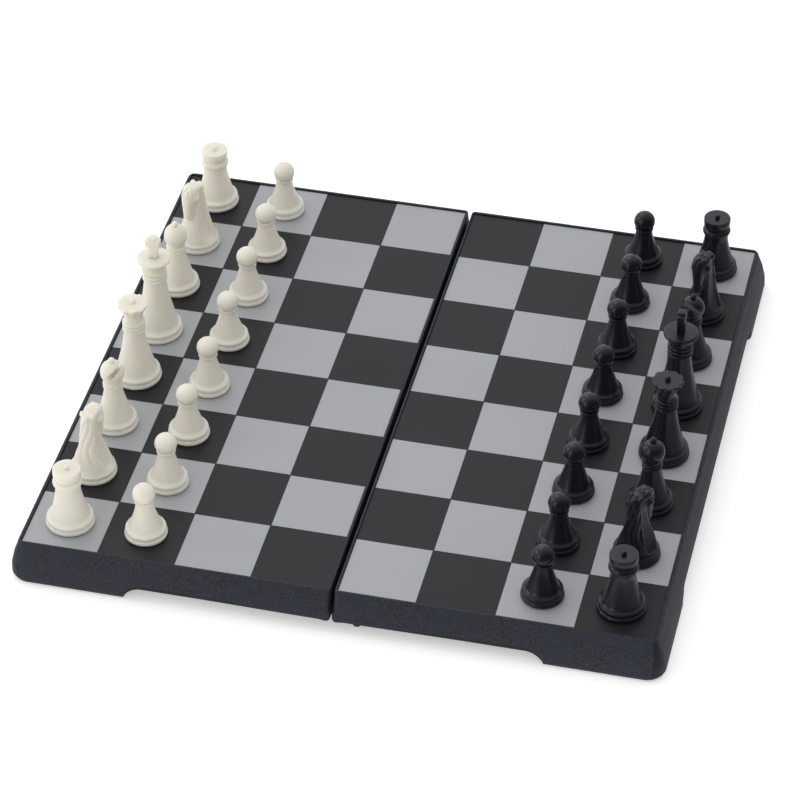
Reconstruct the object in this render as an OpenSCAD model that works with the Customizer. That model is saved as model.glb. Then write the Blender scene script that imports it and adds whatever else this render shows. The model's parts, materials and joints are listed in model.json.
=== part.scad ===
// Folding magnetic travel chess set, opened flat for play.
// The origin is the middle of the board, on the plane that its feet stand on.
// X runs across the fold, Y runs along the hinge, and Z is up.

/* [Board] */
// Side of one square of the playing field
square = 23.5; // [20:0.5:30]
// Width of the raised lip around the playing field
lip_width = 1; // [0.8:0.1:2]
// Height of the lip above the playing field
lip_height = 0.5; // [0.2:0.1:1]
// Gap between the two half cases when they lie open
hinge_gap = 1.3; // [0.8:0.1:1.6]
// Width of the lip along the hinge side
hinge_lip = 0.75; // [0.5:0.05:2]

/* [Case] */
// Height of the playing field above the table
field_height = 13.4; // [12:0.2:20]
// How far the walls spread outwards on the way down
wall_flare = 2.9; // [1:0.1:4]
// Thickness of the case walls
wall = 2.2; // [1.5:0.1:3]
// Thickness of the plate under the playing field
top_plate = 1.8; // [1.2:0.1:3]
// Height of the walls' raised lower edge above the table
edge_raise = 4; // [3:0.2:6]
// Distance from the middle to where each corner foot begins, across the fold
foot_start_x = 58; // [50:1:70]
// Distance from the middle to where each corner foot begins, along the hinge
foot_start_y = 59.5; // [50:0.5:70]
// Radius of the curve between raised edge and foot
foot_curve = 6; // [4.5:0.5:8]
// Height of the smooth band along the raised edge
band_height = 1.6; // [1:0.1:2.5]
// Depth of the smooth band behind the wall's face
band_depth = 0.7; // [0.3:0.1:1]

/* [Playing field] */
// Thickness of the steel plate that the magnets hold to
steel_thickness = 0.5; // [0.3:0.1:1]
// Thickness of the dark playing sheet
sheet_thickness = 0.4; // [0.3:0.05:0.8]
// Thickness of the silver foil squares let into the sheet
foil_thickness = 0.15; // [0.1:0.05:0.2]

/* [Hinge] */
// Height of the hinge pins above the table
pin_height = 3.95; // [3.5:0.05:4.4]
// Gap left between the feet of the two halves when the board is folded
fold_gap = 0.2; // [0.1:0.1:1]
// Gap between the ledges along the bottom of the hinge sides
ledge_gap = 0.3; // [0.2:0.1:0.6]
// Height of these ledges
ledge_height = 3; // [1.5:0.5:5]
// Diameter of the hinge pins
pin_diameter = 2; // [1.5:0.1:2.4]
// Radius of the link eyes and of the knuckles
eye_radius = 3.2; // [2.4:0.1:3.4]
// Width of one hinge link
link_width = 12; // [8:1:20]
// Width of one knuckle beside a link
knuckle_width = 5; // [3:0.5:8]
// Distance of each hinge link from the middle, along the hinge
link_place = 60; // [40:1:70]

/* [Small parts] */
// Diameter of the closing magnets
magnet_diameter = 6; // [4:0.5:7]
// Height of the closing magnets
magnet_height = 3; // [2:0.5:5]
// Diameter of the two small feet beside the hinge
peg_diameter = 3; // [2.6:0.1:4]
// Diameter of the magnet in the base of a chess piece
piece_magnet = 7; // [5:0.5:8]
// Height of the magnet in the base of a chess piece
piece_magnet_height = 2; // [1:0.5:2.5]

/* [Chess pieces] */
// Radius of a pawn's foot
pawn_radius = 6.5; // [6:0.1:8]
// Radius of a rook's foot
rook_radius = 7.4; // [6.5:0.1:9]
// Radius of a knight's foot
knight_radius = 7.3; // [6.5:0.1:9]
// Radius of a bishop's foot
bishop_radius = 7.1; // [6.5:0.1:9]
// Radius of a queen's foot
queen_radius = 7.8; // [7:0.1:9]
// Radius of a king's foot
king_radius = 8.1; // [7.5:0.1:9]
// Number of points on the queen's crown
crown_points = 10; // [6:1:14]

/* [Hidden] */
$fn = 64;
eps = 0.05;
files = 4;
ranks = 8;
field_w = files * square;
field_l = ranks * square;
field_x = hinge_gap / 2 + hinge_lip;
case_w = field_w + lip_width + hinge_lip;
case_l = field_l + 2 * lip_width;
case_top = field_height + lip_height;
recess_floor = field_height - sheet_thickness - steel_thickness;
cavity_top = recess_floor - top_plate;
hinge_corner = 1.2;
// Distance of the smooth band's face from the middle, along the hinge
band_y = case_l / 2 + wall_flare * 0.95 - band_depth;
// Distance of each hinge pin from the fold line
pin_offset = pin_height + fold_gap / 2;
// Radial play of a magnet, a peg or a turning pin in its hole
fit = 0.05;
// Radial play of a pressed pin
press = 0.01;
// Play of the plates in their recess, and of a link in its pocket
blind_fit = 0.1;
side_play = 0.2;
turn_play = 0.3;
// Corner posts that hold the closing magnets
post_inset = 8;
post_wall = 1.4;
post_lift = 0.1;
magnet_sink = 0.3;
// Small feet beside the hinge
peg_x = 7.0;
peg_y = case_l / 2 - 1.8;
peg_stem = 0.6 * peg_diameter;
peg_stem_top = 7.5;
pin_length = link_width + 2 * (knuckle_width + side_play);

ivory = "#e4e0d2";
jet = "#24262b";
case_grey = "#41444c";
sheet_grey = "#3c3c3f";
silver = "#a8abb2";
steel = "#b9bcc0";

// Files count 0 to 7 from left to right, ranks count 0 to 7 from front to back.
function file_x(f) = (f < files ? -1 : 1) * field_x + (f - files + 0.5) * square;
function rank_y(r) = (r - ranks / 2 + 0.5) * square;

// Puts the right half's children on the half that is asked for
module on_half(half) {
    mirror([half < 0 ? 1 : 0, 0, 0])
        children();
}

// ---------------------------------------------------------------- case halves
// Wall profile as [height, spread, corner radius], from the foot to the lip
wall_levels = [
    [0, wall_flare - 1.3, 5],
    [0.5, wall_flare - 0.5, 5.5],
    [1.8, wall_flare, 5.5],
    [5, wall_flare * 0.93, 5],
    [9, wall_flare * 0.6, 4],
    [case_top - 0.4, wall_flare * 0.04, 2.5],
    [case_top, -0.3, 2.2]
];

// One level of the half case, drawn as four thin corner discs
module case_level(z, spread, corner, inset) {
    x_far = hinge_gap / 2 + case_w + spread - inset;
    y_far = case_l / 2 + spread - inset;
    near_corner = max(hinge_corner - inset, 0.3);
    far_corner = max(corner - inset, 0.5);
    for (side = [-1, 1]) {
        translate([x_far - far_corner, side * (y_far - far_corner), z])
            cylinder(h = 0.01, r = far_corner, $fn = 32);
        translate([hinge_gap / 2 + inset + near_corner, side * (y_far - near_corner), z])
            cylinder(h = 0.01, r = near_corner, $fn = 32);
    }
}

module case_solid() {
    hull()
        for (level = wall_levels)
            case_level(level[0], level[1], level[2], 0);
}

module case_cavity() {
    hull() {
        case_level(-1, wall_flare * 0.5, 6, wall);
        case_level(cavity_top - 0.01, wall_flare * 0.3, 4, wall);
    }
}

// The space under the raised edge of the walls that run across the fold
module edge_cut(start, reach) {
    rotate([90, 0, 0])
        linear_extrude(height = 3 * case_l, center = true)
            union() {
                translate([-reach, -1])
                    square([reach + start, edge_raise + 1]);
                translate([start, edge_raise - foot_curve])
                    circle(r = foot_curve);
            }
}

// Smooth band let into the wall just above its raised edge
module edge_band() {
    for (side = [-1, 1])
        translate([-1, side > 0 ? band_y : -band_y - 10, edge_raise - 1])
            cube([foot_start_x + 1, 10, band_height + 1]);
}

// Ledge along the hinge side, which nearly closes the gap to the other half
module hinge_ledge() {
    root = (hinge_gap + wall) / 2;
    ledge_top = edge_raise + ledge_height;
    rotate([90, 0, 0])
        linear_extrude(height = 2 * band_y, center = true)
            polygon([
                [root, edge_raise],
                [hinge_gap / 2, edge_raise],
                [ledge_gap / 2, edge_raise + ledge_height / 3],
                [ledge_gap / 2, ledge_top],
                [root, ledge_top]
            ]);
}

// Block and barrel that hold a hinge pin at one side of a link
module knuckle(y) {
    root_x = hinge_gap / 2 + turn_play;
    translate([pin_offset, y, pin_height])
        rotate([-90, 0, 0])
            cylinder(h = knuckle_width, r = eye_radius);
    translate([root_x, y, pin_height])
        cube([pin_offset + eye_radius - root_x, knuckle_width, cavity_top - pin_height + eps]);
}

module knuckle_pair(place) {
    knuckle(place + link_width / 2 + side_play);
    knuckle(place - link_width / 2 - side_play - knuckle_width);
}

// Calls its children at the place of a corner post
module at_post(side) {
    translate([hinge_gap / 2 + case_w - post_inset, side * (case_l / 2 - post_inset), 0])
        children();
}

module corner_post() {
    translate([0, 0, post_lift])
        cylinder(h = cavity_top, r = magnet_diameter / 2 + post_wall);
}

module magnet_hole() {
    translate([0, 0, -1])
        cylinder(h = 1 + magnet_sink + magnet_height, d = magnet_diameter + 2 * fit);
}

// Pocket in which a link turns
module link_pocket(place) {
    width = link_width + 2 * side_play;
    reach = pin_offset + eye_radius + turn_play;
    translate([-5, place - width / 2, -1])
        cube([5 + reach, width, 1 + pin_height + eye_radius + turn_play]);
}

module pin_bore(place) {
    translate([pin_offset, place, pin_height])
        rotate([90, 0, 0])
            cylinder(h = pin_length + side_play, d = pin_diameter + 2 * press, center = true);
}

// The half case on the +X side. The other one is its mirror image.
module half_case() {
    difference() {
        union() {
            difference() {
                case_solid();
                case_cavity();
                edge_cut(foot_start_x, 20);
                rotate([0, 0, 90])
                    for (side = [0, 1])
                        mirror([side, 0, 0])
                            edge_cut(foot_start_y, 80);
                edge_band();
            }
            hinge_ledge();
            for (side = [-1, 1]) {
                knuckle_pair(side * link_place);
                at_post(side)
                    corner_post();
            }
        }
        // recess for the steel plate and the playing sheet
        translate([field_x, -field_l / 2, recess_floor])
            cube([field_w, field_l, 5]);
        for (side = [-1, 1]) {
            at_post(side)
                magnet_hole();
            link_pocket(side * link_place);
            pin_bore(side * link_place);
        }
    }
}

// Solid pads over the raised edge, which the two small feet are pressed into
module peg_boss() {
    for (side = [-1, 1])
        translate([peg_x, side * peg_y, edge_raise])
            cylinder(h = cavity_top - edge_raise + eps, d = peg_diameter + 2);
}

module peg_hole() {
    for (side = [-1, 1])
        translate([peg_x, side * peg_y, 0])
            cylinder(h = peg_stem_top, d = peg_stem + 2 * fit);
}

module left_case() {
    color(case_grey)
        on_half(-1)
            half_case();
}

module right_case() {
    color(case_grey)
        difference() {
            union() {
                half_case();
                peg_boss();
            }
            peg_hole();
        }
}

// ------------------------------------------------------------- playing field
module steel_plate(half) {
    color(steel)
        on_half(half)
            translate([field_x + blind_fit, -field_l / 2 + blind_fit, recess_floor])
                cube([field_w - 2 * blind_fit, field_l - 2 * blind_fit, steel_thickness]);
}

// Calls its children at the middle of every light square of one half
module at_light_squares(half) {
    for (f = [0:files - 1], r = [0:ranks - 1])
        if ((f + r) % 2 == (half < 0 ? 1 : 0))
            translate([field_x + (f + 0.5) * square, rank_y(r), field_height])
                children();
}

module foil_square(side, depth) {
    translate([-side / 2, -side / 2, -depth])
        cube([side, side, depth]);
}

module playing_sheet(half) {
    color(sheet_grey)
        on_half(half)
            difference() {
                translate([field_x + blind_fit, -field_l / 2 + blind_fit, recess_floor + steel_thickness])
                    cube([field_w - 2 * blind_fit, field_l - 2 * blind_fit, sheet_thickness]);
                at_light_squares(half)
                    translate([0, 0, 1])
                        foil_square(square - 2 * fit - 2 * blind_fit, foil_thickness + 1);
            }
}

module silver_squares(half) {
    color(silver)
        on_half(half)
            at_light_squares(half)
                foil_square(square - 3 * fit - 2 * blind_fit, foil_thickness);
}

// --------------------------------------------------------------------- hinge
module hinge_link() {
    difference() {
        union() {
            for (side = [-1, 1])
                translate([side * pin_offset, 0, pin_height])
                    rotate([90, 0, 0])
                        cylinder(h = link_width, r = eye_radius, center = true);
            translate([-pin_offset, -link_width / 2, pin_height - eye_radius])
                cube([2 * pin_offset, link_width, eye_radius * 1.5]);
        }
        for (side = [-1, 1])
            translate([side * pin_offset, 0, pin_height])
                rotate([90, 0, 0])
                    cylinder(h = link_width + 1, d = pin_diameter + 2 * fit, center = true);
    }
}

module hinge_links() {
    color(case_grey)
        for (side = [-1, 1])
            translate([0, side * link_place, 0])
                hinge_link();
}

module hinge_pins(half) {
    color(steel)
        for (side = [-1, 1])
            translate([half * pin_offset, side * link_place, pin_height])
                rotate([90, 0, 0])
                    cylinder(h = pin_length, d = pin_diameter, center = true);
}

// --------------------------------------------------------------- small parts
module closing_magnets(half) {
    color(steel)
        on_half(half)
            for (side = [-1, 1])
                at_post(side)
                    translate([0, 0, magnet_sink])
                        cylinder(h = magnet_height, d = magnet_diameter);
}

module centre_feet() {
    tip = peg_diameter / 2;
    color(case_grey)
        for (side = [-1, 1])
            translate([peg_x, side * peg_y, 0])
                union() {
                    translate([0, 0, tip])
                        sphere(r = tip);
                    translate([0, 0, tip])
                        cylinder(h = edge_raise - tip, r = tip);
                    translate([0, 0, tip])
                        cylinder(h = peg_stem_top - tip, d = peg_stem);
                }
}

// -------------------------------------------------------------- chess pieces
// Points along a circular arc, from angle a0 to a1
function arc(cx, cz, r, a0, a1, n = 6) = [
    for (i = [0:n])
        let (a = a0 + (a1 - a0) * i / n)
            [cx + r * cos(a), cz + r * sin(a)]
];

// Height at which the body of a piece rises from its base rings
base_top = 3.65;
// How much narrower than its foot a body starts
base_step = 1.45;
// How deep a magnet sits inside the base
piece_magnet_sink = 0.2;

// Rounded foot, groove, and the bead above it
function base_rings(r) = concat(
    [[0, 0], [r - 0.5, 0]],
    arc(r - 0.8, 0.85, 0.8, -75, 75),
    [[r - 0.75, 1.8]],
    arc(r - 1.1, 2.6, 0.75, -60, 90)
);

// Slightly hollow cone from the base up to a neck
function flank(r, neck_r, neck_z, n = 12) = [
    for (i = [0:n])
        let (t = i / n, bend = (t + sin(90 * t)) / 2)
            [r - base_step + (neck_r - r + base_step) * bend, base_top + (neck_z - base_top) * t]
];

// Half-round ring around a neck
function ring(r, z, thick) = arc(r - thick / 2, z, thick / 2, -90, 90);

function ball(r, z, a0, a1 = 90) = arc(0, z, r, a0, a1, 16);

module turned(outline) {
    rotate_extrude()
        polygon(outline);
}

// A turned piece with the recess for its magnet, and the magnet in it
module weighted() {
    difference() {
        children();
        translate([0, 0, -1])
            cylinder(h = 1 + piece_magnet_sink + piece_magnet_height + fit, d = piece_magnet + 2 * fit);
    }
    translate([0, 0, piece_magnet_sink])
        cylinder(h = piece_magnet_height, d = piece_magnet);
}

module pawn() {
    weighted()
        turned(concat(
            base_rings(pawn_radius),
            flank(pawn_radius, 2.5, 12.3),
            ring(2.85, 13.1, 0.9),
            [[2.1, 13.7]],
            ball(3.4, 15.7, -42)
        ));
}

module rook() {
    weighted()
        turned(concat(
            base_rings(rook_radius),
            flank(rook_radius, 3.75, 13.4),
            [[3.85, 14.2]],
            arc(3.4, 16.2, 1.3, -60, 90),
            [[3.9, 18.2], [4.2, 19.2], [4.2, 20.8], [3.9, 21.1], [0.9, 21.1]],
            ball(0.9, 21.7, -20)
        ));
}

module bishop(turn) {
    rotate([0, 0, turn])
        weighted()
            difference() {
                turned(concat(
                    base_rings(bishop_radius),
                    flank(bishop_radius, 2.8, 14.3),
                    ring(3.15, 15.1, 0.85),
                    ring(3.15, 16.2, 0.85),
                    [[2.8, 16.8], [2.7, 17.2]],
                    [for (a = [-40:10:70]) [3.7 * cos(a), 20.4 + 4 * sin(a)]],
                    ball(1, 24.8, -40)
                ));
                // slanting slot in the mitre
                translate([2.5, 0, 22.7])
                    rotate([0, -48, 0])
                        cube([7, 10, 1.5], center = true);
            }
}

module queen() {
    weighted()
        difference() {
            turned(concat(
                base_rings(queen_radius),
                flank(queen_radius, 3.2, 18.2),
                ring(3.6, 19.2, 1),
                ring(3.6, 20.6, 1),
                ring(3.6, 22, 1),
                [[3.1, 23.2], [2.95, 24.4], [3.2, 25.8], [3.8, 27], [4.6, 28]],
                [[4.95, 28.6], [4.85, 29], [3.9, 29.1], [0.9, 29.1]],
                ball(0.9, 29.7, -20)
            ));
            for (i = [1:crown_points])
                rotate([0, 0, 360 * i / crown_points])
                    translate([5.7, 0, 26])
                        cylinder(h = 4, r = 1.15, $fn = 32);
        }
}

module king(turn) {
    rotate([0, 0, turn])
        weighted()
            union() {
                turned(concat(
                    base_rings(king_radius),
                    flank(king_radius, 3.5, 20.3),
                    ring(3.95, 21.4, 1),
                    ring(3.95, 22.9, 1),
                    ring(3.95, 24.4, 1),
                    [[3.3, 25.6], [3.4, 26.9], [4.1, 28]],
                    arc(4.75, 28.8, 0.65, -45, 80),
                    [[0, 29.5]]
                ));
                cross();
            }
}

module cross() {
    stem = 2.7;
    arm = 4.7;
    translate([-stem / 2, -stem / 2, 29.3])
        cube([stem, stem, 7.9]);
    translate([-arm / 2, -stem / 2 + 0.1, 33.4])
        cube([arm, stem - 0.2, 2.8]);
}

module knight(turn) {
    rotate([0, 0, turn])
        weighted()
            union() {
                turned(concat(
                    base_rings(knight_radius),
                    flank(knight_radius, 3.6, 13),
                    [[0, 13]]
                ));
                // neck
                hull() {
                    translate([0.2, 0, 9])
                        sphere(r = 4.4, $fn = 24);
                    translate([-0.6, 0, 20])
                        sphere(r = 2.6, $fn = 24);
                }
                // crest and cheeks
                hull() {
                    translate([-0.6, 0, 21.8])
                        sphere(r = 2.8, $fn = 24);
                    translate([2.3, 0, 21.6])
                        sphere(r = 2.8, $fn = 24);
                }
                // face and muzzle
                hull() {
                    translate([2.6, 0, 20.4])
                        sphere(r = 2.8, $fn = 24);
                    translate([3.9, 0, 13.6])
                        sphere(r = 1.7, $fn = 24);
                }
            }
}

module piece(kind, turn) {
    if (kind == "pawn") pawn();
    if (kind == "rook") rook();
    if (kind == "knight") knight(turn);
    if (kind == "bishop") bishop(turn);
    if (kind == "queen") queen();
    if (kind == "king") king(turn);
}

// A piece of one colour on its square
module standing(kind, file, rank, finish, turn = 0) {
    color(finish)
        translate([file_x(file), rank_y(rank), field_height])
            piece(kind, turn);
}

module white_pawn(rank) {
    standing("pawn", 1, rank, ivory);
}

module black_pawn(rank) {
    standing("pawn", 6, rank, jet);
}

left_case();
right_case();
steel_plate(-1);  // left_steel_plate
steel_plate(1);  // right_steel_plate
playing_sheet(-1);  // left_playing_sheet
playing_sheet(1);  // right_playing_sheet
silver_squares(-1);  // left_silver_squares
silver_squares(1);  // right_silver_squares
hinge_links();
hinge_pins(-1);  // left_hinge_pins
hinge_pins(1);  // right_hinge_pins
closing_magnets(-1);  // left_closing_magnets
closing_magnets(1);  // right_closing_magnets
centre_feet();
standing("rook", 0, 0, ivory);  // white_rook_near
standing("knight", 0, 1, ivory, 75);  // white_knight_near
standing("bishop", 0, 2, ivory, -5);  // white_bishop_near
standing("queen", 0, 3, ivory);  // white_queen
standing("king", 0, 4, ivory, 0);  // white_king
standing("bishop", 0, 5, ivory, 100);  // white_bishop_far
standing("knight", 0, 6, ivory, -112);  // white_knight_far
standing("rook", 0, 7, ivory);  // white_rook_far
white_pawn(0);  // white_pawn_1
white_pawn(1);  // white_pawn_2
white_pawn(2);  // white_pawn_3
white_pawn(3);  // white_pawn_4
white_pawn(4);  // white_pawn_5
white_pawn(5);  // white_pawn_6
white_pawn(6);  // white_pawn_7
white_pawn(7);  // white_pawn_8
standing("rook", 7, 0, jet);  // black_rook_near
standing("knight", 7, 1, jet, 60);  // black_knight_near
standing("bishop", 7, 2, jet, 120);  // black_bishop_near
standing("queen", 7, 3, jet);  // black_queen
standing("king", 7, 4, jet, 90);  // black_king
standing("bishop", 7, 5, jet, -130);  // black_bishop_far
standing("knight", 7, 6, jet, -110);  // black_knight_far
standing("rook", 7, 7, jet);  // black_rook_far
black_pawn(0);  // black_pawn_1
black_pawn(1);  // black_pawn_2
black_pawn(2);  // black_pawn_3
black_pawn(3);  // black_pawn_4
black_pawn(4);  // black_pawn_5
black_pawn(5);  // black_pawn_6
black_pawn(6);  // black_pawn_7
black_pawn(7);  // black_pawn_8
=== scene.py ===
"""Looks of the folding magnetic travel chess set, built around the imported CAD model.

Lengths are in millimetres until mm() turns them into Blender's metres. The frame gives every place:
the script reads the boxes of the CAD nodes and builds its own finer meshes in the same space.
"""
import json
import math

import bmesh
import bpy
import numpy as np
from mathutils import Matrix, Vector

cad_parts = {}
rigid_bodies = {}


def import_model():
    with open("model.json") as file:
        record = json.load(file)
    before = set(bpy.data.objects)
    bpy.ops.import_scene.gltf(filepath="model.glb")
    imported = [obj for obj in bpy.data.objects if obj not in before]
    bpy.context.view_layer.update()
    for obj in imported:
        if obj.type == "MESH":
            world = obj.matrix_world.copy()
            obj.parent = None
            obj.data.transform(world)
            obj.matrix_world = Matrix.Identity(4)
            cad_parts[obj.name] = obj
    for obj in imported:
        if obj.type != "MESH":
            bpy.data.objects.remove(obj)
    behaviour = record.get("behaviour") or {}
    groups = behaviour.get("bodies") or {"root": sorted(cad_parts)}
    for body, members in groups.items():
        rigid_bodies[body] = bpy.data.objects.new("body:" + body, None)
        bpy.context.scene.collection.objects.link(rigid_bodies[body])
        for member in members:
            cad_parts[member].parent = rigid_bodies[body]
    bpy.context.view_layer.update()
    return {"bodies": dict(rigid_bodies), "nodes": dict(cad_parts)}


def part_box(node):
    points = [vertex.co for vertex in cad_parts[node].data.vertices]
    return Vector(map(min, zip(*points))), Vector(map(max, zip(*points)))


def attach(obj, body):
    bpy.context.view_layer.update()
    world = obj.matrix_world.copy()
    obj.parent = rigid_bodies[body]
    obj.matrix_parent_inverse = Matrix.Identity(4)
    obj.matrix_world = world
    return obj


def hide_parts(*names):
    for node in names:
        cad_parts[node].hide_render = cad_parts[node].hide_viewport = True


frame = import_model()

SCALE = 0.001


def mm(value):
    return value * SCALE


def box_mm(node):
    """Lowest and highest corner of a CAD node, in millimetres."""
    low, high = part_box(node)
    return Vector(low) / SCALE, Vector(high) / SCALE


# ------------------------------------------------------------------ measures
CASE_LOW, CASE_HIGH = box_mm("right_case")
SHEET_LOW, SHEET_HIGH = box_mm("right_playing_sheet")
PLATE_LOW, _ = box_mm("right_steel_plate")
SQUARE = (SHEET_HIGH.y - SHEET_LOW.y) / 8 + 0.025
FIELD_Z = SHEET_HIGH.z
CASE_TOP = CASE_HIGH.z
LEDGE_X = CASE_LOW.x
# Clearance round the sheet in its recess, and width of the rim between the sheet and the fold
SHEET_PLAY = 0.12
FOLD_RIM = 0.85
HINGE_X = SHEET_LOW.x - FOLD_RIM
# How far the outer walls spread between the top and the foot
FLARE = 2.9
TOP_X = CASE_HIGH.x - FLARE
TOP_Y = CASE_HIGH.y - FLARE
WALL = 2.2
DECK = 1.8
CEILING_Z = PLATE_LOW.z - DECK
# The lower edge is raised between the corner feet, which begin at FOOT_X and FOOT_Y with a curve
EDGE_RAISE = 4.0
FOOT_X = 58.0
FOOT_Y = 59.5
FOOT_CURVE = 6.0
# The smooth band set back along the lower edge
BAND_HEIGHT = 2.2
BAND_DEPTH = 0.7
HINGE_CORNER = 1.2
LEDGE_HEIGHT = 3.0
LINK_LOW, LINK_HIGH = box_mm("hinge_links")
PIN_LOW, PIN_HIGH = box_mm("right_hinge_pins")
PIN_X = (PIN_LOW.x + PIN_HIGH.x) / 2
PIN_Z = (PIN_LOW.z + PIN_HIGH.z) / 2
PIN_REACH = PIN_HIGH.y
EYE_R = LINK_HIGH.x - PIN_X
LINK_WIDTH = 12.0
LINK_Y = LINK_HIGH.y - LINK_WIDTH / 2


# ----------------------------------------------------------------- materials
class Nodes:
    """Small helper that builds a node tree for one material."""

    def __init__(self, name):
        self.material = bpy.data.materials.new(name)
        self.material.use_nodes = True
        self.tree = self.material.node_tree
        self.shader = self.tree.nodes["Principled BSDF"]
        self.where = self.add("ShaderNodeTexCoord").outputs["Object"]

    def add(self, kind, **inputs):
        node = self.tree.nodes.new(kind)
        for key, value in inputs.items():
            self.feed(node, key.replace("_", " "), value)
        return node

    def feed(self, node, key, value):
        socket = node.inputs[key]
        if isinstance(value, bpy.types.NodeSocket):
            self.tree.links.new(value, socket)
        else:
            socket.default_value = value

    def set(self, **inputs):
        for key, value in inputs.items():
            self.feed(self.shader, key.replace("_", " "), value)

    def noise(self, size, detail=2.0, rough=0.5, stretch=None):
        """Noise with features about `size` millimetres across."""
        where = self.where
        if stretch:
            mapping = self.add("ShaderNodeMapping", Vector=where, Scale=stretch)
            where = mapping.outputs["Vector"]
        node = self.add("ShaderNodeTexNoise", Vector=where, Scale=1 / mm(size), Detail=detail, Roughness=rough)
        return node.outputs["Fac"]

    def ramp(self, fac, stops):
        """Colours blended along a value; stops are (place, colour)."""
        node = self.add("ShaderNodeValToRGB", Fac=fac)
        ramp = node.color_ramp
        while len(ramp.elements) < len(stops):
            ramp.elements.new(0.5)
        for element, (place, colour) in zip(ramp.elements, stops):
            element.position = place
            element.color = (*colour, 1.0)
        return node.outputs["Color"]

    def spread(self, fac, low, high, start=0.0, end=1.0):
        """A value stretched from start..end to low..high."""
        node = self.add("ShaderNodeMapRange", Value=fac)
        node.inputs["From Min"].default_value = start
        node.inputs["From Max"].default_value = end
        node.inputs["To Min"].default_value = low
        node.inputs["To Max"].default_value = high
        return node.outputs["Result"]

    def mix(self, fac, a, b):
        node = self.tree.nodes.new("ShaderNodeMix")
        node.data_type = "RGBA"
        self.feed(node, 0, fac)
        for key, value in ((6, a), (7, b)):
            if isinstance(value, bpy.types.NodeSocket):
                self.tree.links.new(value, node.inputs[key])
            else:
                node.inputs[key].default_value = (*value, 1.0)
        return node.outputs[2]

    def bump(self, *layers):
        """Stacks (height, depth in millimetres) layers into one bump."""
        normal = None
        for height, depth in layers:
            node = self.add("ShaderNodeBump", Height=height, Distance=mm(depth), Strength=1.0)
            if normal is not None:
                self.feed(node, "Normal", normal)
            normal = node.outputs["Normal"]
        self.feed(self.shader, "Normal", normal)

    def edges(self, radius):
        """About 1 on convex edges, 0 on flats: where handling wears the surface, and where a painted highlight
        lightens the edges.
        """
        bevel = self.add("ShaderNodeBevel", Radius=mm(radius))
        geometry = self.add("ShaderNodeNewGeometry")
        dot = self.tree.nodes.new("ShaderNodeVectorMath")
        dot.operation = "DOT_PRODUCT"
        self.tree.links.new(bevel.outputs["Normal"], dot.inputs[0])
        self.tree.links.new(geometry.outputs["Normal"], dot.inputs[1])
        return self.spread(dot.outputs["Value"], 1.0, 0.0, 0.9, 1.0)


def case_plastic():
    """Charcoal plastic with a spark-eroded mould texture."""
    n = Nodes("case_plastic")
    pits = n.noise(0.35, 3.0, 0.6)
    blotches = n.noise(0.8, 4.0, 0.65)
    cloud = n.noise(5.0, 2.0, 0.5)
    dark, light, blue = (0.018, 0.020, 0.029), (0.038, 0.041, 0.054), (0.027, 0.032, 0.049)
    grain = n.ramp(blotches, [(0.38, dark), (0.62, light)])
    tinted = n.mix(n.spread(cloud, 0.0, 0.6, 0.4, 0.65), grain, blue)
    # Convex edges lightened: partly wear, partly a painted highlight along the edges.
    wear_and_edge_highlight = n.mix(n.spread(n.edges(0.3), 0.0, 0.3), tinted, (0.07, 0.074, 0.082))
    n.set(Base_Color=wear_and_edge_highlight, Roughness=n.spread(pits, 0.48, 0.66))
    n.feed(n.shader, "Specular IOR Level", 0.25)
    n.bump((pits, 0.07), (blotches, 0.09))
    return n.material


def smooth_plastic_painted_shade():
    """The same plastic where the mould was polished, with a darker colour that is partly painted shade: band,
    inside, links and knuckles.
    """
    n = Nodes("smooth_plastic_painted_shade")
    haze = n.noise(5.0, 2.0)
    fine = n.noise(0.25, 1.0)
    # The dark base colour is partly painted shade, for the band set back under the wall.
    n.set(Base_Color=n.ramp(haze, [(0.35, (0.013, 0.014, 0.017)), (0.65, (0.019, 0.020, 0.024))]))
    n.set(Roughness=n.spread(haze, 0.40, 0.52))
    n.feed(n.shader, "Specular IOR Level", 0.25)
    n.bump((fine, 0.01))
    return n.material


def dark_sheet():
    """Satin dark playing sheet with a very fine print grain."""
    n = Nodes("dark_sheet")
    grain = n.noise(0.18, 1.0)
    cloud = n.noise(30.0, 1.0)
    base = n.ramp(cloud, [(0.3, (0.015, 0.0145, 0.018)), (0.7, (0.018, 0.0175, 0.021))])
    n.set(Base_Color=base, Roughness=n.spread(grain, 0.36, 0.46))
    n.feed(n.shader, "Specular IOR Level", 0.25)
    n.bump((grain, 0.008))
    return n.material


def silver_foil():
    """Satin silver squares with a faint brushed line along the ranks."""
    n = Nodes("silver_foil")
    brush = n.noise(0.30, 2.0, stretch=(0.03, 1.0, 1.0))
    cloud = n.noise(40.0, 1.0)
    base = n.ramp(cloud, [(0.3, (0.375, 0.388, 0.408)), (0.7, (0.395, 0.408, 0.428))])
    n.set(Base_Color=base, Metallic=0.2, Roughness=n.spread(brush, 0.42, 0.54))
    n.bump((brush, 0.006))
    return n.material


def ivory():
    """Ivory plastic: slightly translucent, satin, with soft flow marks."""
    n = Nodes("ivory_plastic")
    flow = n.noise(4.0, 2.0, 0.5, stretch=(1.0, 1.0, 0.4))
    fine = n.noise(0.5, 2.0)
    base = n.ramp(flow, [(0.3, (0.82, 0.79, 0.70)), (0.7, (0.85, 0.82, 0.73))])
    n.set(Base_Color=base, Roughness=n.spread(fine, 0.34, 0.44), Subsurface_Weight=0.8)
    n.feed(n.shader, "Subsurface Radius", (1.0, 0.85, 0.55))
    n.feed(n.shader, "Subsurface Scale", mm(2.5))
    n.feed(n.shader, "Specular IOR Level", 0.4)
    n.bump((fine, 0.006), (flow, 0.03))
    return n.material


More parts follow.
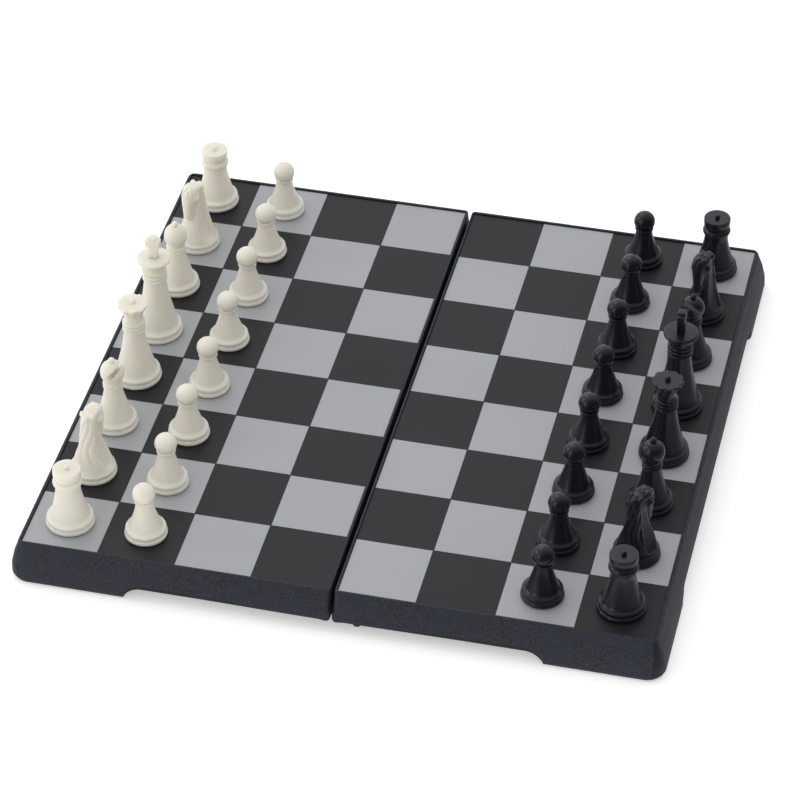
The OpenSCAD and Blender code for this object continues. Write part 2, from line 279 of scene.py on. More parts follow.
def jet():
    """Black plastic with a satin shine."""
    n = Nodes("black_plastic")
    flow = n.noise(4.0, 2.0, 0.5, stretch=(1.0, 1.0, 0.4))
    fine = n.noise(0.5, 2.0)
    n.set(Base_Color=n.ramp(flow, [(0.3, (0.006, 0.007, 0.010)), (0.7, (0.009, 0.010, 0.014))]))
    n.set(Roughness=n.spread(fine, 0.24, 0.32))
    n.feed(n.shader, "Specular Tint", (0.86, 0.92, 1.0, 1.0))
    n.bump((fine, 0.006), (flow, 0.03))
    return n.material


def metal(name, colour, rough, brushed=True):
    """Bare or plated metal with faint stains."""
    n = Nodes(name)
    lines = n.noise(0.4, 2.0, stretch=(1.0, 0.05, 1.0) if brushed else None)
    stain = n.noise(6.0, 3.0)
    dim = tuple(c * 0.8 for c in colour)
    n.set(Base_Color=n.ramp(stain, [(0.35, dim), (0.65, colour)]), Metallic=1.0)
    n.set(Roughness=n.spread(lines, rough, rough + 0.15))
    n.bump((lines, 0.006))
    return n.material


def rubber():
    """Matt black rubber."""
    n = Nodes("foot_rubber")
    fine = n.noise(0.3, 3.0)
    n.set(Base_Color=n.ramp(fine, [(0.3, (0.020, 0.020, 0.022)), (0.7, (0.034, 0.034, 0.037))]))
    n.set(Roughness=n.spread(fine, 0.65, 0.85))
    n.bump((fine, 0.03))
    return n.material


CASE = case_plastic()
SMOOTH = smooth_plastic_painted_shade()
SHEET = dark_sheet()
FOIL = silver_foil()
IVORY = ivory()
JET = jet()
STEEL = metal("steel_plate", (0.55, 0.56, 0.58), 0.30)
PIN_STEEL = metal("pin_steel", (0.62, 0.62, 0.64), 0.18)
NICKEL = metal("magnet_nickel", (0.66, 0.64, 0.60), 0.12, brushed=False)
RUBBER = rubber()


# ------------------------------------------------------------------- meshes
def smooth_by_angle(mesh, degrees=38):
    """Smooth shading, with edges sharper than the angle left crisp."""
    for polygon in mesh.polygons:
        polygon.use_smooth = True
    bm = bmesh.new()
    bm.from_mesh(mesh)
    for edge in bm.edges:
        if len(edge.link_faces) == 2:
            edge.smooth = edge.calc_face_angle(0.0) < math.radians(degrees)
    bm.to_mesh(mesh)
    bm.free()


def make_object(name, mesh, *materials):
    obj = bpy.data.objects.new(name, mesh)
    bpy.context.scene.collection.objects.link(obj)
    for material in materials:
        if material.name not in mesh.materials:
            mesh.materials.append(material)
    return obj


def mesh_from(name, vertices, faces):
    """A mesh from points in millimetres, with its normals made to point outwards."""
    mesh = bpy.data.meshes.new(name)
    mesh.from_pydata([tuple(mm(c) for c in v) for v in vertices], [], faces)
    bm = bmesh.new()
    bm.from_mesh(mesh)
    bmesh.ops.remove_doubles(bm, verts=bm.verts, dist=1e-7)
    bmesh.ops.recalc_face_normals(bm, faces=bm.faces)
    bm.to_mesh(mesh)
    bm.free()
    return mesh


def smooth_step(t):
    t = min(max(t, 0.0), 1.0)
    return t * t * (3 - 2 * t)


# ----------------------------------------------------------------- half case
# How the outer wall spreads with height: (height, spread, corner radius)
WALL_LEVELS = [
    (0.0, FLARE - 1.3, 5.0),
    (0.5, FLARE - 0.5, 5.5),
    (1.8, FLARE, 5.5),
    (5.0, FLARE * 0.93, 5.0),
    (9.0, FLARE * 0.60, 4.0),
    (CASE_TOP - 0.4, FLARE * 0.04, 2.5),
    (CASE_TOP, 0.0, 2.2),
]
INNER_LEVELS = [(-1.0, FLARE * 0.5, 6.0), (CEILING_Z, FLARE * 0.3, 4.0)]


def level_at(levels, z):
    """Spread and corner radius at a height, eased between the given levels."""
    heights = [level[0] for level in levels]
    return [float(np.interp(z, heights, [level[k] for level in levels])) for k in (1, 2)]


def foot_height(distance, start):
    """Height of the lower edge at a distance from the middle: raised, then curving down to the foot."""
    if distance <= start:
        return EDGE_RAISE
    reach = distance - start
    if reach >= FOOT_CURVE:
        return 0.0
    return max(0.0, EDGE_RAISE - FOOT_CURVE + math.sqrt(FOOT_CURVE**2 - reach**2))


def foot_places(start):
    """Places along a wall, close together where the lower edge curves."""
    steep = math.degrees(math.acos((FOOT_CURVE - EDGE_RAISE) / FOOT_CURVE))
    return [start + FOOT_CURVE * math.sin(math.radians(steep * i / 14)) for i in range(15)]


def case_columns():
    """Columns round the half case: (kind, place, height of the lower edge)."""
    far_x, far_y = TOP_X - 9.0, TOP_Y - 9.0
    curve_x, curve_y = foot_places(FOOT_X), foot_places(FOOT_Y)
    xs = [4.0 + (FOOT_X - 6.0) * i / 12 for i in range(12)] + curve_x
    xs += [curve_x[-1] + (far_x - curve_x[-1]) * i / 5 for i in range(1, 6)]
    half_y = [FOOT_Y * i / 14 for i in range(14)] + curve_y
    half_y += [curve_y[-1] + (far_y - curve_y[-1]) * i / 5 for i in range(1, 6)]
    ys = [-y for y in reversed(half_y[1:])] + half_y
    columns = [("front", x, foot_height(x, FOOT_X)) for x in xs]
    columns += [("front_corner", -90 + 90 * i / 14, 0.0) for i in range(15)]
    columns += [("outer", y, foot_height(abs(y), FOOT_Y)) for y in ys]
    columns += [("back_corner", 90 * i / 14, 0.0) for i in range(15)]
    columns += [("back", x, foot_height(x, FOOT_X)) for x in reversed(xs)]
    columns += [("back_hinge", 90 + 90 * i / 6, EDGE_RAISE) for i in range(7)]
    columns += [("hinge", y, EDGE_RAISE) for y in np.linspace(TOP_Y - 4, 4 - TOP_Y, 24)]
    columns += [("front_hinge", 180 + 90 * i / 6, EDGE_RAISE) for i in range(7)]
    return columns


def column_point(kind, place, z, spread, corner, inset, hinge_inset):
    """Where a column stands on the outline with this spread, corner radius and inset."""
    x1 = TOP_X + spread - inset
    y1 = TOP_Y + spread - inset
    x0 = HINGE_X + hinge_inset
    near = max(HINGE_CORNER - max(hinge_inset, 0.0), 0.25)
    corner = max(corner - inset, 0.3)
    if kind == "front":
        return (place, -y1, z)
    if kind == "back":
        return (place, y1, z)
    if kind == "outer":
        return (x1, place, z)
    if kind == "hinge":
        return (x0, place, z)
    turn = math.radians(place)
    if kind in ("front_corner", "back_corner"):
        centre = (x1 - corner, (y1 - corner) * (-1 if kind == "front_corner" else 1))
        radius = corner
    else:
        centre = (x0 + near, (y1 - near) * (-1 if kind == "front_hinge" else 1))
        radius = near
    return (centre[0] + radius * math.cos(turn), centre[1] + radius * math.sin(turn), z)


def lower_edge(kind, place, low):
    """Height and depth of the form along the lower edge: the ledge at the hinge, the smooth band elsewhere."""
    if "hinge" in kind:
        return LEDGE_HEIGHT, 0.0
    share = 1.0
    if kind in ("front", "back"):
        share = 0.5 + 0.5 * smooth_step((place - 4) / 40)
    return BAND_HEIGHT * share, BAND_DEPTH * share * smooth_step(low / (0.3 * EDGE_RAISE))


def case_loops(columns):
    """Closed loops of points, from the recess floor over the lip, down outside and up inside."""
    recess_x, recess_y = SHEET_HIGH.x + SHEET_PLAY, SHEET_HIGH.y + SHEET_PLAY
    lip_x, lip_y = TOP_X - recess_x, TOP_Y - recess_y
    hinge_lip = SHEET_LOW.x - SHEET_PLAY - HINGE_X

    def flat_loop(z, inset, corner, hinge_inset, inset_y=None):
        loop = []
        for kind, place, _ in columns:
            x, y, _ = column_point(kind, place, z, 0.0, corner, inset, hinge_inset)
            if inset_y is not None and inset_y != inset:
                y *= (TOP_Y - inset_y) / (TOP_Y - inset)
            loop.append((x, y, z))
        return loop

    loops = [
        flat_loop(PLATE_LOW.z, lip_x, 0.4, hinge_lip, lip_y),
        flat_loop(CASE_TOP - 0.22, lip_x, 0.4, hinge_lip, lip_y),
        flat_loop(CASE_TOP - 0.07, lip_x - 0.07, 0.5, hinge_lip - 0.07, lip_y - 0.07),
        flat_loop(CASE_TOP, lip_x - 0.24, 0.7, hinge_lip - 0.24, lip_y - 0.24),
        flat_loop(CASE_TOP, 0.34, 1.9, 0.25),
        flat_loop(CASE_TOP - 0.08, 0.12, 2.1, 0.08),
    ]
    rows = 16
    for row in range(rows + 1):
        loop = []
        for kind, place, low in columns:
            height, _ = lower_edge(kind, place, low)
            z = CASE_TOP - 0.3 + (low + height - CASE_TOP + 0.3) * row / rows
            spread, corner = level_at(WALL_LEVELS, z)
            loop.append(column_point(kind, place, z, spread, corner, 0.0, 0.0))
        loops.append(loop)
    ledge = LEDGE_X - HINGE_X
    scoop = [
        (0.95, 0.25, ledge + 0.15),
        (0.90, 0.45, ledge + 0.03),
        (0.72, 0.75, ledge),
        (0.50, 0.95, ledge + 0.02),
        (0.25, 1.0, ledge + 0.12),
        (0.08, 1.0, ledge + 0.27),
        (0.0, 1.15, ledge + 0.45),
    ]
    for share, deep, hinge_inset in scoop:
        loop = []
        for kind, place, low in columns:
            height, depth = lower_edge(kind, place, low)
            z = low + height * share
            spread, corner = level_at(WALL_LEVELS, z)
            rounding = 0.35 * max(0.0, 1 - height * share / 0.35) ** 2
            loop.append(column_point(kind, place, z, spread, corner, depth * deep + rounding, hinge_inset))
        loops.append(loop)
    inner_steps = 5
    for step in range(-1, inner_steps + 1):
        loop = []
        for kind, place, low in columns:
            z = low if step < 0 else low + 0.3 + (CEILING_Z - low - 0.3) * step / inner_steps
            spread, corner = level_at(INNER_LEVELS, z)
            trim = 0.15 if step < 0 else 0.0
            loop.append(column_point(kind, place, z, spread, corner, WALL - trim, WALL - trim))
        loops.append(loop)
    return loops


def case_mesh(name):
    """Skin of the right half case: the loops joined, closed at the recess floor and at the ceiling inside."""
    columns = case_columns()
    loops = case_loops(columns)
    count = len(columns)
    vertices = [point for loop in loops for point in loop]
    faces = []
    for k in range(len(loops) - 1):
        for i in range(count):
            j = (i + 1) % count
            faces.append((k * count + i, k * count + j, (k + 1) * count + j, (k + 1) * count + i))
    faces.append(tuple(range(count)))
    last = (len(loops) - 1) * count
    faces.append(tuple(reversed(range(last, last + count))))
    return mesh_from(name, vertices, faces)


def box_mesh(low, high):
    """A block between two corners."""
    mesh = bpy.data.meshes.new("tool")
    bm = bmesh.new()
    bmesh.ops.create_cube(bm, size=1.0)
    size = Vector(high) - Vector(low)
    middle = (Vector(high) + Vector(low)) / 2
    for vertex in bm.verts:
        vertex.co = Vector(mm(vertex.co[k] * size[k] + middle[k]) for k in range(3))
    bm.to_mesh(mesh)
    bm.free()
    return mesh


def rod_mesh(start, end, radius, segments=40):
    """A round rod between two points."""
    start, end = Vector(start), Vector(end)
    mesh = bpy.data.meshes.new("tool")
    bm = bmesh.new()
    bmesh.ops.create_cone(
        bm, cap_ends=True, segments=segments, radius1=mm(radius), radius2=mm(radius), depth=mm((end - start).length)
    )
    turn = (end - start).to_track_quat("Z", "Y").to_matrix().to_4x4()
    turn.translation = (start + end) / 2 * SCALE
    bm.transform(turn)
    bm.to_mesh(mesh)
    bm.free()
    return mesh


def apply_modifiers(obj):
    """Makes what the modifiers show the object's own mesh."""
    graph = bpy.context.evaluated_depsgraph_get()
    mesh = bpy.data.meshes.new_from_object(obj.evaluated_get(graph))
    obj.modifiers.clear()
    obj.data = mesh


def carve(obj, mesh, operation):
    """Joins a mesh to an object or cuts it out."""
    tool = bpy.data.objects.new("tool", mesh)
    bpy.context.scene.collection.objects.link(tool)
    cut = obj.modifiers.new("cut", "BOOLEAN")
    cut.operation = operation
    cut.solver = "EXACT"
    cut.object = tool
    apply_modifiers(obj)
    bpy.data.objects.remove(tool)


def add_hinge_seats(obj):
    """Knuckles beside each link, the pocket the link turns in, and the bores for the pins."""
    gap = 0.2
    bore_radius = 1.01
    width = (PIN_REACH - LINK_Y) * 2
    knuckle = (width - LINK_WIDTH) / 2 - gap
    for side in (-1, 1):
        centre = side * LINK_Y
        for sign in (-1, 1):
            near = centre + sign * (LINK_WIDTH / 2 + gap)
            far = near + sign * knuckle
            low_y, high_y = min(near, far), max(near, far)
            carve(obj, rod_mesh((PIN_X, low_y, PIN_Z), (PIN_X, high_y, PIN_Z), EYE_R), "UNION")
            root = (HINGE_X + 0.3, low_y, PIN_Z)
            carve(obj, box_mesh(root, (PIN_X + EYE_R, high_y, CEILING_Z + 0.5)), "UNION")
        half = LINK_WIDTH / 2 + gap
        pocket_end = (PIN_X + EYE_R + 0.3, centre + half, PIN_Z + EYE_R + 0.3)
        carve(obj, box_mesh((-5, centre - half, -1), pocket_end), "DIFFERENCE")
        reach = PIN_REACH - LINK_Y + 0.1
        start, end = (PIN_X, centre - reach, PIN_Z), (PIN_X, centre + reach, PIN_Z)
        carve(obj, rod_mesh(start, end, bore_radius, 24), "DIFFERENCE")


def add_corner_posts(obj):
    """Posts in the outer corners with a socket for the closing magnets."""
    low, high = box_mm("right_closing_magnets")
    radius = (high.x - low.x) / 2
    x = (low.x + high.x) / 2
    for side in (-1, 1):
        y = side * (high.y - radius)
        carve(obj, rod_mesh((x, y, 0.1), (x, y, CEILING_Z + 0.5), radius + 1.4, 48), "UNION")
        carve(obj, rod_mesh((x, y, -1), (x, y, high.z + 0.02), radius + 0.05, 48), "DIFFERENCE")


def add_foot_pads(obj):
    """Bosses that carry the small feet beside the fold."""
    low, high = box_mm("centre_feet")
    radius = (high.x - low.x) / 2
    x = (low.x + high.x) / 2
    for side in (-1, 1):
        y = side * (high.y - radius)
        carve(obj, rod_mesh((x, y, EDGE_RAISE), (x, y, CEILING_Z + 0.5), radius + 1.0), "UNION")
        carve(obj, rod_mesh((x, y, 0), (x, y, high.z + 0.05), 0.6 * radius + 0.05), "DIFFERENCE")


def paint_case(mesh, mirrored):
    """Mould texture on the outer walls and lip; polished plastic on the band and inside, whose darker colour is
    partly painted shade.
    """
    mesh.materials.clear()
    mesh.materials.append(CASE)
    mesh.materials.append(SMOOTH)
    for polygon in mesh.polygons:
        centre = polygon.center / SCALE
        x = -centre.x if mirrored else centre.x
        spread, _ = level_at(WALL_LEVELS, centre.z)
        outside = max(x - TOP_X, abs(centre.y) - TOP_Y) > spread - 0.35
        hinge_face = x < HINGE_X + 0.15 and centre.z > EDGE_RAISE + 0.4
        lip = centre.z > CASE_TOP - 0.45
        polygon.material_index = 0 if outside or hinge_face or lip else 1


def build_case(node, body, mirrored):
    """One half case. The left one is the mirrored right one, without the pads of the centre feet."""
    obj = make_object(node + "_shell", case_mesh(node + "_shell"))
    add_hinge_seats(obj)
    add_corner_posts(obj)
    if not mirrored:
        add_foot_pads(obj)
    if mirrored:
        obj.data.transform(Matrix.Scale(-1, 4, (1, 0, 0)))
        obj.data.flip_normals()
    smooth_by_angle(obj.data)
    paint_case(obj.data, mirrored)
    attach(obj, body)
    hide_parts(node)
    return obj


build_case("right_case", "right_half", False)
build_case("left_case", "left_half", True)


# -------------------------------------------------------------- chess pieces
def arc(cx, cz, r, a0, a1, n=8):
    """Points on a circular arc."""
    turns = [math.radians(a0 + (a1 - a0) * i / n) for i in range(n + 1)]
    return [(cx + r * math.cos(a), cz + r * math.sin(a)) for a in turns]


# Height of the turned base, and how much narrower than its foot the body above it starts
BASE_TOP = 3.65
BASE_STEP = 1.45
# The magnet let into each base
MAGNET_R = 3.5
MAGNET_TOP = 2.2
MAGNET_SINK = 0.2


def magnet_recess():
    """The hollow under the base, from the axis outwards."""
    top, wall = MAGNET_TOP + 0.05, MAGNET_R + 0.05
    return [(0, top), (wall, top), (wall, 0.15), (MAGNET_R + 0.2, 0)]


def base_rings(r):
    """Rounded foot, groove, and the bead that flows into the body above it."""
    foot = [(r - 0.75, 0.0)] + arc(r - 0.8, 0.85, 0.8, -80, 70, 12)
    groove = [(r - 0.55, 1.68), (r - 0.59, 1.80), (r - 0.57, 1.92)]
    bead = arc(r - 1.05, 2.6, 0.72, -50, 62, 12) + [(r - 0.92, 3.36), (r - 1.12, 3.52)]
    return magnet_recess() + foot + groove + bead


def flank(r, neck_r, neck_z, n=24):
    """Slightly hollow cone from the base up to a neck."""
    points = []
    for i in range(1, n + 1):
        t = i / n
        bend = (t + math.sin(math.pi / 2 * t)) / 2
        points.append((r - BASE_STEP + (neck_r - r + BASE_STEP) * bend, BASE_TOP + (neck_z - BASE_TOP) * t))
    return [(r - BASE_STEP + 0.06, BASE_TOP + 0.05)] + points


def ring(r, z, thick):
    """A round bead that stands out to a radius."""
    return arc(r - thick / 2, z, thick / 2, -90, 90, 10)


def lathe(outline, segments=96):
    """Vertices and faces of a turned solid; the outline starts and ends on the axis."""
    vertices, faces, rings = [], [], []
    for r, z in outline:
        if r < 1e-6:
            rings.append([len(vertices)])
            vertices.append((0.0, 0.0, z))
            continue
        rings.append(list(range(len(vertices), len(vertices) + segments)))
        for i in range(segments):
            turn = 2 * math.pi * i / segments
            vertices.append((r * math.cos(turn), r * math.sin(turn), z))
    for lower, upper in zip(rings, rings[1:]):
        for i in range(segments):
            j = (i + 1) % segments
            if len(lower) == 1 and len(upper) > 1:
                faces.append((lower[0], upper[j], upper[i]))
            elif len(upper) == 1 and len(lower) > 1:
                faces.append((lower[i], lower[j], upper[0]))
            elif len(lower) > 1:
                faces.append((lower[i], lower[j], upper[j], upper[i]))
    return vertices, faces


def magnet_disc(vertices, faces):
    """Adds the bevelled magnet in the base. Returns where its faces start."""
    first_face = len(faces)
    edge = 0.25
    outline = [(0, MAGNET_SINK), (MAGNET_R - edge, MAGNET_SINK), (MAGNET_R, MAGNET_SINK + edge)]
    outline += [(MAGNET_R, MAGNET_TOP), (0, MAGNET_TOP)]
    more, quads = lathe(outline, 48)
    offset = len(vertices)
    return vertices + more, faces + [tuple(i + offset for i in quad) for quad in quads], first_face


def turned_mesh(name, outline, change=None):
    """A turned piece with its magnet; change moves the points of the plastic."""
    vertices, faces = lathe(outline)
    if change:
        vertices = [change(*v) for v in vertices]
    vertices, faces, magnet_start = magnet_disc(vertices, faces)
    mesh = mesh_from(name, vertices, faces)
    mesh["magnet_start"] = magnet_start
    return mesh


def pawn_outline(r):
    collar = ring(2.95, 12.95, 0.9) + [(2.45, 13.5)]
    head = arc(0, 15.7, 3.4, -42, 90, 28)
    return base_rings(r) + flank(r, 2.5, 12.3) + collar + head


def rook_outline(r):
    collar = arc(3.2, 16.2, 1.25, -60, 70, 12) + [(3.62, 17.6), (3.72, 18.0), (4.0, 18.45), (4.22, 18.9)]
    rim = arc(3.95, 20.75, 0.3, 0, 90, 5)
    return base_rings(r) + flank(r, 3.75, 13.4) + [(3.8, 14.4)] + collar + [(4.26, 19.6)] + rim + finial(21.45, 0.8)


def finial(z, r):
    """A small ball standing on a flat top."""
    return [(r * 0.95, z - 0.62)] + arc(0, z, r, -28, 90, 12)


def bishop_outline(r):
    head = [(3.7 * math.cos(math.radians(a)), 20.4 + 4.0 * math.sin(math.radians(a))) for a in range(-40, 73, 4)]
    collars = ring(3.15, 15.1, 0.85) + ring(3.15, 16.2, 0.85) + [(2.8, 16.75), (2.68, 17.1), (2.72, 17.5)]
    return base_rings(r) + flank(r, 2.8, 14.3) + collars + head + arc(0, 24.8, 1.0, -40, 90, 10)


def queen_outline(r):
    collars = ring(3.6, 19.2, 1) + ring(3.6, 20.6, 1) + ring(3.6, 22, 1)
    cup = [(3.1, 22.9), (2.97, 23.6), (2.98, 24.4), (3.1, 25.2), (3.35, 26.0)]
    cup += [(3.75, 26.8), (4.25, 27.6), (4.7, 28.3)]
    rim = arc(4.6, 28.75, 0.32, -20, 90, 6)
    return base_rings(r) + flank(r, 3.2, 18.2) + collars + cup + rim + [(3.9, 29.1)] + finial(29.7, 0.9)


# Top of the disc that carries the king's cross
KING_DISC = 29.5


def king_outline(r):
    collars = ring(3.95, 21.4, 1) + ring(3.95, 22.9, 1) + ring(3.95, 24.4, 1)
    cup = [(3.35, 25.3), (3.3, 26.1), (3.42, 26.9), (3.75, 27.6), (4.3, 28.1)]
    rim = arc(4.72, KING_DISC - 0.7, 0.7, -45, 88, 10)
    return base_rings(r) + flank(r, 3.5, 20.3) + collars + cup + rim + [(0, KING_DISC)]


# Horizontal slices through a knight's neck: (height, back, front, half width, half width between the side flats)
NECK_SLICES = [
    (3.5, -6.0, 6.0, 6.0, 6.0),
    (4.5, -5.6, 5.8, 5.6, 5.2),
    (6.0, -5.1, 5.4, 5.1, 4.4),
    (8.0, -4.6, 5.0, 4.4, 3.7),
    (10.0, -4.2, 4.4, 3.75, 3.2),
    (12.5, -3.8, 3.5, 3.15, 2.75),
    (15.0, -3.45, 2.8, 2.75, 2.45),
    (17.5, -3.25, 2.5, 2.5, 2.2),
    (20.0, -3.0, 2.5, 2.3, 2.1),
    (22.0, -2.3, 2.4, 2.0, 1.9),
    (23.4, -1.0, 1.6, 1.4, 1.4),
]
# Squareness of the neck's slices, 1 for an oval
NECK_SQUARE = 0.8

# Where the mane ends and the side flats begin, along the neck
MANE_EDGE = -1.3

# The head from the poll to the lips: (forward, height, half depth, half width)
HEAD_SLICES = [
    (-2.0, 21.4, 0.9, 1.1),
    (-1.1, 22.1, 1.5, 1.8),
    (0.1, 22.5, 1.9, 2.2),
    (1.5, 22.8, 2.15, 2.45),
    (2.8, 22.1, 2.4, 2.5),
    (3.4, 20.1, 2.35, 2.35),
    (3.8, 18.1, 2.05, 2.0),
    (4.0, 16.3, 1.75, 1.75),
    (4.1, 14.5, 1.6, 1.6),
    (4.1, 13.0, 1.5, 1.6),
    (4.0, 12.0, 0.9, 1.1),
]


def loft(sections):
    """Vertices and faces of a closed skin over rings of points."""
    count = len(sections[0])
    vertices = [point for section in sections for point in section]
    faces = [tuple(range(count)), tuple(range(len(vertices) - count, len(vertices)))]
    for k in range(len(sections) - 1):
        for i in range(count):
            j = (i + 1) % count
            faces.append((k * count + i, k * count + j, (k + 1) * count + j, (k + 1) * count + i))
    return vertices, faces


def eased_rows(rows, steps):
    """Rows of numbers with smooth in-between rows added."""
    table = np.array(rows, float)
    out = []
    for k in range(len(table) - 1):
        before, a, b, after = table[max(k - 1, 0)], table[k], table[k + 1], table[min(k + 2, len(table) - 1)]
        for i in range(steps):
            t = i / steps
            m0, m1 = (b - before) / 2, (after - a) / 2
            out.append(
                (2 * t**3 - 3 * t**2 + 1) * a
                + (t**3 - 2 * t**2 + t) * m0
                + (3 * t**2 - 2 * t**3) * b
                + (t**3 - t**2) * m1
            )
    return out + [table[-1]]


def neck_loft():
    """The knight's neck and chest: squarish slices, flat-sided in front of the mane."""
    sections = []
    for z, back, front, half, flat in eased_rows(NECK_SLICES, 6):
        middle, reach = (front + back) / 2, (front - back) / 2
        ring_points = []
        for i in range(120):
            turn = 2 * math.pi * i / 120
            along = math.copysign(abs(math.cos(turn)) ** NECK_SQUARE, math.cos(turn))
            across = math.copysign(abs(math.sin(turn)) ** NECK_SQUARE, math.sin(turn))
            x, y = middle + reach * along, half * across
            limit = flat + (half - flat) * smooth_step((MANE_EDGE - x) / 0.35)
            ring_points.append((x, max(-limit, min(limit, y)), z))
        sections.append(ring_points)
    return loft(sections)


def head_loft():
    """The knight's head: rings across the line from the poll to the lips."""
    rows = eased_rows(HEAD_SLICES, 5)
    sections = []
    for k, (x, z, depth, half) in enumerate(rows):
        ahead, behind = rows[min(k + 1, len(rows) - 1)], rows[max(k - 1, 0)]
        along = Vector((ahead[0] - behind[0], 0, ahead[1] - behind[1])).normalized()
        out = Vector((-along.z, 0, along.x))
        ring_points = []
        for i in range(60):
            turn = 2 * math.pi * i / 60
            side = math.sin(turn)
            point = Vector((x, 0, z)) + out * depth * math.cos(turn)
            ring_points.append((point.x, half * math.copysign(abs(side) ** 0.85, side), point.z))
        sections.append(ring_points)
    return loft(sections)


def blob(place, radii):
    """A stretched ball."""
    outline = arc(0, 0, 1, -90, 90, 20)
    outline[0], outline[-1] = (0, -1), (0, 1)
    vertices, faces = lathe(outline, 40)
    return [tuple(v[k] * radii[k] + place[k] for k in range(3)) for v in vertices], faces


def carve_knight(points):
    """Mane, cheeks, mouth, nostrils and eyes, worked into the smooth form by moving points along x, y, z."""
    x, y, z = points[:, 0], points[:, 1], points[:, 2]
    radius = np.hypot(x + 0.6, y)
    turn = np.arctan2(y, -(x + 0.6))
    at_back = np.clip((MANE_EDGE + 0.25 - x) / 0.5, 0, 1)
    along = np.clip((z - 4.6) / 2.5, 0, 1) * np.clip((23.2 - z) / 1.5, 0, 1)
    wave = np.sin(4.4 * turn + 1.5 * np.sin(z / 2.7 + 0.5) + 0.12 * (z - 12))
    grow = at_back * along * (0.6 * np.sqrt(np.abs(wave)) - 0.35)
    x = x + (x + 0.6) / np.maximum(radius, 0.3) * grow
    y = y + y / np.maximum(radius, 0.3) * grow

    lock = np.clip((z - 21.2) / 1.2, 0, 1) * np.clip((x + 0.2) / 0.8, 0, 1)
    curls = 0.22 * lock * np.sin(2.6 * x + 1.5 * np.sin(1.9 * y)) * np.cos(2.4 * y + 0.8 * z)
    x = x + curls
    z = np.where(z > 24.0, 24.0 + 0.45 * (z - 24.0), z) + curls
    z = z - 0.4 * np.exp(-(((x + 0.1) / 0.7) ** 2)) * np.clip((z - 23.0) / 1.0, 0, 1)

    def dent(cx, cy, cz, reach, amount):
        near = np.exp(-((x - cx) ** 2 + (np.abs(y) - cy) ** 2 + (z - cz) ** 2) / reach**2)
        return -np.sign(y) * amount * near

    y = y + dent(4.9, 1.3, 14.2, 0.45, 0.55)
    y = y + dent(3.4, 2.6, 21.8, 0.6, 0.5) + dent(3.4, 2.7, 21.8, 0.3, -0.75)
    mouth = np.exp(-(((z - 13.0 + 0.25 * (x - 4.6)) / 0.22) ** 2)) * np.clip((x - 3.2) / 0.8, 0, 1)
    shrink = 1 - 0.13 * mouth
    x = 4.4 + (x - 4.4) * np.where(x > 3.2, shrink, 1)
    y = y * np.where(x > 3.2, shrink, 1)
    jaw = np.hypot(x - 2.3, z - 20.2)
    curl = np.exp(-(((jaw - 1.3) / 0.22) ** 2)) * np.clip((np.abs(y) - 1.6) / 0.6, 0, 1)
    y = y - np.sign(y) * 0.35 * curl
    return np.stack([x, y, z], axis=1)


def knight_mesh(radius):
    """The knight: turned base, flat-sided neck with a folded mane, and a long drooping head."""
    parts = [
        lathe(base_rings(radius) + [(radius - 1.3, 4.0), (0, 4.0)]),
        neck_loft(),
        head_loft(),
        blob((2.5, 1.5, 20.4), (1.95, 1.75, 2.1)),
        blob((2.5, -1.5, 20.4), (1.95, 1.75, 2.1)),
        blob((-1.0, 1.7, 22.9), (1.0, 0.9, 1.15)),
        blob((-1.0, -1.7, 22.9), (1.0, 0.9, 1.15)),
        blob((-2.4, 0, 22.3), (1.0, 1.1, 1.1)),
        blob((3.0, 1.6, 22.3), (1.1, 0.9, 0.8)),
        blob((3.0, -1.6, 22.3), (1.1, 0.9, 0.8)),
    ]
    vertices, faces = [], []
    for more, quads in parts:
        offset = len(vertices)
        vertices += more
        faces += [tuple(i + offset for i in quad) for quad in quads]
    mesh = mesh_from("knight_parts", vertices, faces)
    obj = bpy.data.objects.new("knight_parts", mesh)
    bpy.context.scene.collection.objects.link(obj)
    remesh = obj.modifiers.new("remesh", "REMESH")
    remesh.mode = "VOXEL"
    remesh.voxel_size = mm(0.15)
    even = obj.modifiers.new("even", "SMOOTH")
    even.factor = 0.5
    even.iterations = 4
    apply_modifiers(obj)
    mesh = obj.data
    bpy.data.objects.remove(obj)
    points = np.zeros(len(mesh.vertices) * 3)
    mesh.vertices.foreach_get("co", points)
    points = carve_knight(points.reshape(-1, 3) / SCALE)
    mesh.vertices.foreach_set("co", (points * SCALE).ravel())
    vertices, faces, _ = magnet_disc([], [])
    magnet = mesh_from("knight_magnet", vertices, faces)
    joined = bmesh.new()
    joined.from_mesh(mesh)
    joined.from_mesh(magnet)
    joined.to_mesh(mesh)
    joined.free()
    return mesh


CROWN_POINTS = 10


def scallop(x, y, z):
    """Waves the rim of the queen's crown."""
    share = smooth_step((z - 26.4) / 2.2)
    radius = math.hypot(x, y)
    if share <= 0 or radius < 3.0:
        return (x, y, z)
    turn = math.atan2(y, x)
    dip = abs(math.cos(CROWN_POINTS * turn / 2)) ** 0.7
    keep = 1 - 0.13 * share * (1 - dip) * smooth_step((radius - 3.0) / 1.2)
    return (x * keep, y * keep, z)


def cut_slot(mesh):
    """Cuts the slanting slot in the bishop's mitre."""
    width, middle, slant = 1.5, (2.5, 0, 22.7), -48
    obj = bpy.data.objects.new("mitre", mesh)
    bpy.context.scene.collection.objects.link(obj)
    tool = box_mesh((-3.5, -5.0, -width / 2), (3.5, 5.0, width / 2))
    turn = Matrix.Rotation(math.radians(slant), 4, "Y")
    tool.transform(Matrix.Translation([mm(c) for c in middle]) @ turn)
    carve(obj, tool, "DIFFERENCE")
    mesh = obj.data
    bpy.data.objects.remove(obj)
    return mesh


